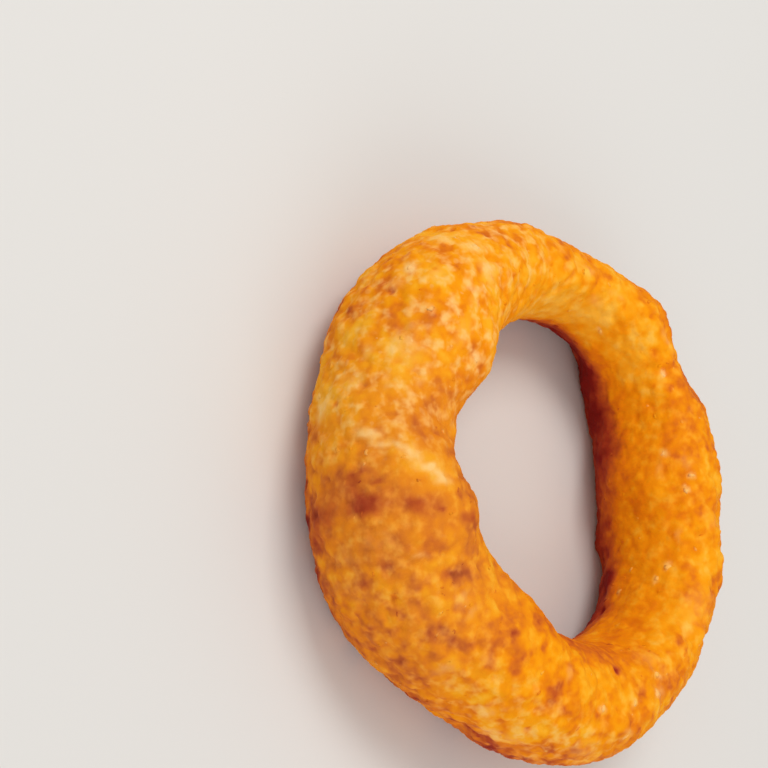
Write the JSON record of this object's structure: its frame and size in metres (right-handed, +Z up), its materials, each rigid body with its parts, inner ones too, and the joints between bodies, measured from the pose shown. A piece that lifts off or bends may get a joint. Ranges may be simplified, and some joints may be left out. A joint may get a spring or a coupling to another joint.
{
  "type": "onion ring",
  "caption": "Thick battered and fried onion ring with a lumpy golden crust and an off-round hole, lying flat.",
  "frame": {"origin": "under the middle of the ring's box, on the surface that it rests on", "axes": "+Z up through the hole, +X along the ring's longest way across, -Y towards its thicker side"},
  "size_m": [0.081, 0.0764, 0.0244],
  "materials": {
    "fried_batter": "golden to orange-brown fried batter, grainy and dull with a slight oily sheen"
  },
  "bodies": {
    "root": {"onion_ring": "fried_batter"}
  },
  "joints": []
}
